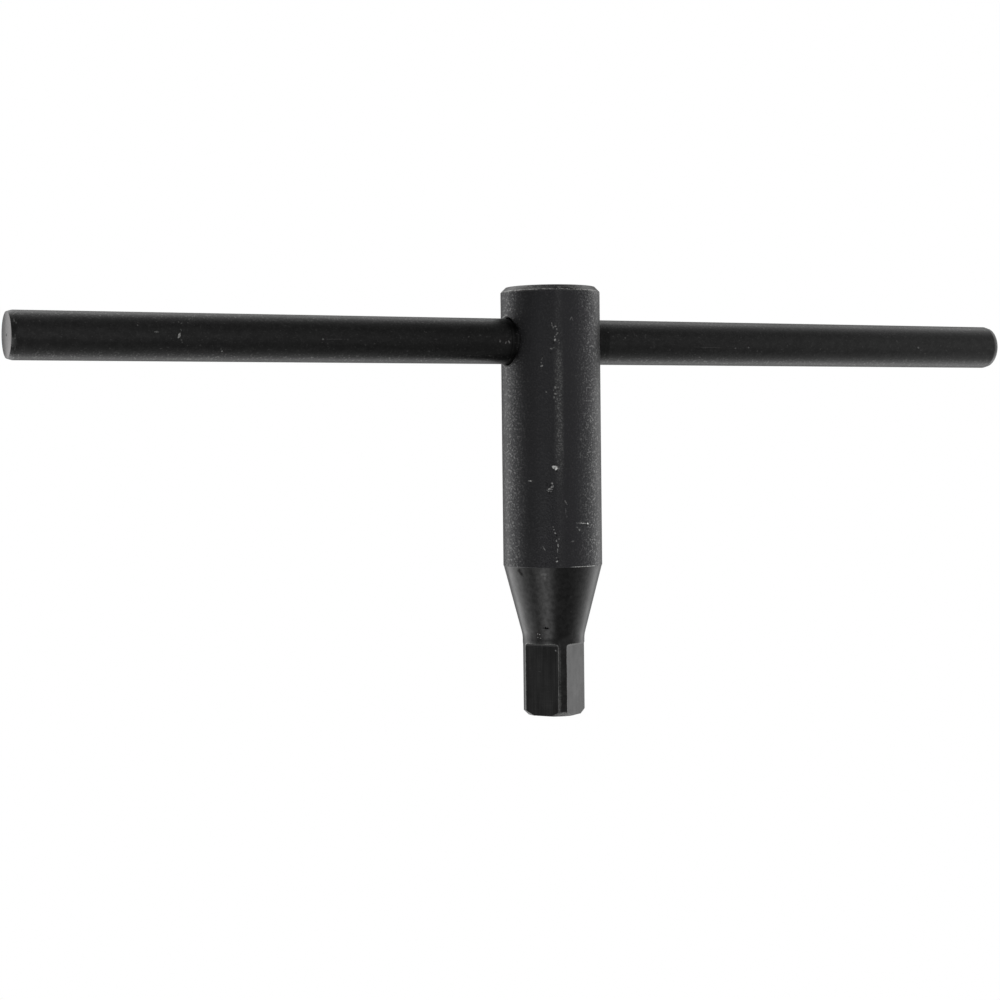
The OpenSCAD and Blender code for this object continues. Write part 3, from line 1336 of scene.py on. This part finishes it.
@dataclass
class HandleBar:
    """The plain round bar through the head, tapered off at both ends.

    Attributes:
        axis_z: Height of the bar's axis.
        radius: Radius of the bar.
        half: Half its length.
        end_step: Radial width of the taper at each end.
        end_len: Length of that taper.
        crisp: Width of the break on the edges of the ends.
        pip_r: Radius of the pip that the lathe's centre leaves in each end.
        pip_depth: Depth of that pip.
    """

    axis_z: float
    radius: float
    half: float
    end_step: float = 0.3 * MM
    end_len: float = 1.1 * MM
    crisp: float = 0.05 * MM
    pip_r: float = 0.4 * MM
    pip_depth: float = 0.3 * MM

    @classmethod
    def from_frame(cls) -> "HandleBar":
        """Read the bar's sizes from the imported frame.

        Returns:
            The bar, not yet built.
        """
        low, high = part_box("handle_bar")
        return cls(
            axis_z=(low.z + high.z) / 2,
            radius=(high.z - low.z) / 2,
            half=(high.x - low.x) / 2,
        )

    def build(self) -> bpy.types.Object:
        """Build and dress the bar.

        Returns:
            The finished piece.
        """
        end_r = self.radius - self.end_step
        shoulder = self.half - self.end_len
        bm = turned(
            [
                (0.0, self.pip_depth - self.half),
                (self.pip_r, -self.half),
                (end_r, -self.half),
                (self.radius, -shoulder),
                (self.radius, shoulder),
                (end_r, self.half),
                (self.pip_r, self.half),
                (0.0, self.half - self.pip_depth),
            ]
        )
        for side in (-1, 1):
            soften_ring(bm, end_r, side * self.half, self.crisp)
            soften_ring(bm, self.radius, side * shoulder, 2 * self.crisp)
        lay_along_x(bm, self.axis_z)
        for face in bm.faces:
            on_end = abs(face.calc_center_median().x) > self.half - ON_PLANE
            face.material_index = (BarFinish.FACED if on_end else BarFinish.DRAWN).value
        piece = as_object("bar_body", bm)
        drawn = DrawnBar("blackened_drawn_bar", "1c1c1c", 0.36).make(self.radius, self.axis_z)
        centre = Vector((0.0, 0.0, self.axis_z))
        end_steel = TurnedSteel("blackened_faced_end", "201c1c", 0.30, depth=FACED_DEPTH)
        faced = end_steel.make(self.radius, bar_turn(), centre, core_mm=1.3 * self.pip_r / MM)
        piece.data.materials.append(drawn)
        piece.data.materials.append(faced)
        smooth(piece, 20.0)
        return piece


# ------------------------------------------------------------------------------- studio


@dataclass(frozen=True)
class Glow:
    """A soft patch of the tent, bright or dark.

    Attributes:
        right_deg: Bearing to the camera's right, where 0 is towards the camera.
        up_deg: Height above the horizon, in degrees.
        spread_deg: Angle from its middle to its edge.
        strength: Brightness added at its middle, negative where the tent is darker.
    """

    right_deg: float
    up_deg: float
    spread_deg: float
    strength: float


@dataclass
class Studio:
    """Pale floor, soft light all round, and the camera.

    Attributes:
        camera_at: Camera's place, in millimetres.
        facing_deg: Turn of the camera's view from +Y towards +X, in degrees.
        pitch_deg: How far the camera looks down, in degrees.
        roll_deg: How far the camera leans, in degrees.
        lens: Focal length for a 36 mm sensor, in millimetres.
        front: Brightness of the tent on the camera's side.
        side: Brightness of the tent beside and above the object.
        back: Brightness of the tent straight behind the object.
        brighten: Cosines to straight behind between which the tent rises from front to side.
        dim: Cosines to straight behind between which it falls from side to back.
        glows: Bright and dark patches of the tent.
    """

    camera_at: tuple[float, float, float] = (-205.05, -409.71, 59.39)
    facing_deg: float = 25.137
    pitch_deg: float = 1.460
    roll_deg: float = 0.641
    lens: float = 74.13
    front: float = 0.85
    side: float = 2.6
    back: float = 0.4
    brighten: tuple[float, float] = (-0.55, 0.45)
    dim: tuple[float, float] = (0.62, 0.90)
    glows: tuple[Glow, ...] = (
        Glow(-24.6, -28.0, 26.0, 6.0),
        Glow(17.0, 0.0, 16.0, 1.2),
        Glow(48.0, 8.0, 40.0, 0.7),
        Glow(-105.0, -32.0, 46.0, 2.6),
        Glow(100.0, -5.0, 45.0, 0.9),
        Glow(125.0, 48.0, 48.0, -0.75),
        Glow(-143.0, 2.0, 24.0, -0.35),
    )

    def camera(self) -> None:
        """Set up the camera."""
        data = bpy.data.cameras.new("camera")
        data.lens = self.lens
        data.sensor_width = 36.0
        data.clip_start = 0.01
        data.clip_end = 20.0
        camera = bpy.data.objects.new("camera", data)
        turn = Matrix.Rotation(-math.radians(self.facing_deg), 4, "Z")
        look = Matrix.Rotation(math.radians(90.0 - self.pitch_deg), 4, "X")
        lean = Matrix.Rotation(-math.radians(self.roll_deg), 4, "Z")
        camera.matrix_world = Matrix.Translation(Vector(self.camera_at) * MM) @ turn @ look @ lean
        bpy.context.scene.collection.objects.link(camera)
        bpy.context.scene.camera = camera

    def bearing(self, right_deg: float, up_deg: float) -> Vector:
        """Direction from the object, by its turn from the camera's side.

        Args:
            right_deg: Degrees to the camera's right, where 0 is towards the camera.
            up_deg: Degrees above the horizon.

        Returns:
            A unit vector.
        """
        turn = math.radians(-90.0 - self.facing_deg + right_deg)
        up = math.radians(up_deg)
        return Vector((math.cos(turn) * math.cos(up), math.sin(turn) * math.cos(up), math.sin(up)))

    def surround(self) -> None:
        """Light the object from a white tent with bright sides, and show the camera plain white."""
        world = bpy.data.worlds.new("surround")
        world.use_nodes = True
        tree = world.node_tree
        tree.nodes.clear()
        where = add(tree, "ShaderNodeTexCoord")["Generated"]
        away = -self.bearing(0.0, 0.0)
        along = add(tree, VECTOR, (where, away), operation="DOT_PRODUCT")["Value"]
        limits = (*self.brighten, self.front, self.side)
        level = add(tree, RAMP, (along, *limits), interpolation_type=SOFT)[0]
        limits = (*self.dim, 1.0, self.back / self.side)
        fall = add(tree, RAMP, (along, *limits), interpolation_type=SOFT)[0]
        total = add(tree, MATH, (level, fall), operation="MULTIPLY")[0]
        for glow in self.glows:
            toward = self.bearing(glow.right_deg, glow.up_deg)
            near = add(tree, VECTOR, (where, toward), operation="DOT_PRODUCT")["Value"]
            edge = math.cos(math.radians(glow.spread_deg))
            lobe = add(tree, RAMP, (near, edge, 1.0, 0.0, glow.strength), interpolation_type=SOFT)[0]
            total = add(tree, MATH, (total, lobe), operation="ADD")[0]
        seen = add(tree, "ShaderNodeLightPath")["Is Camera Ray"]
        strength = add(tree, "ShaderNodeMix", {0: seen, 2: total, 3: 1.0}, data_type="FLOAT")[0]
        light = add(tree, "ShaderNodeBackground", ((1, 1, 1, 1), strength))[0]
        add(tree, "ShaderNodeOutputWorld", (light,))
        bpy.context.scene.world = world

    def floor(self) -> None:
        """Lay a plain white floor, which the tent lights from below as a light table would be."""
        bm = bmesh.new()
        bmesh.ops.create_grid(bm, x_segments=1, y_segments=1, size=3.0)
        bmesh.ops.translate(bm, vec=(0.0, 0.0, -0.1 * MM), verts=bm.verts)
        table = as_object("floor", bm)
        table.visible_diffuse = False
        table.visible_glossy = False
        table.visible_shadow = False
        material = bpy.data.materials.new("white_light_table")
        material.use_nodes = True
        tree = material.node_tree
        tree.nodes.clear()
        glow = add(tree, "ShaderNodeEmission", ((1, 1, 1, 1), 1.0))[0]
        add(tree, "ShaderNodeOutputMaterial", (glow,))
        table.data.materials.append(material)

    def build(self) -> None:
        """Set up the whole studio."""
        self.camera()
        self.surround()
        self.floor()
        bpy.context.scene.view_settings.view_transform = "Standard"


def main() -> None:
    """Build the key and its studio."""
    logging.basicConfig(level=logging.INFO, format="%(name)s: %(message)s")
    Studio().build()
    made = (
        (Shank.from_frame(), "shank", "shank_steel"),
        (HandleBar.from_frame(), "handle_bar", "bar_steel"),
    )
    for part, node, slot in made:
        piece = part.build()
        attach(piece, BODY)
        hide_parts(node)
        log.info("%s: %d faces", piece.name, len(piece.data.polygons))


if __name__ == "__main__":
    main()
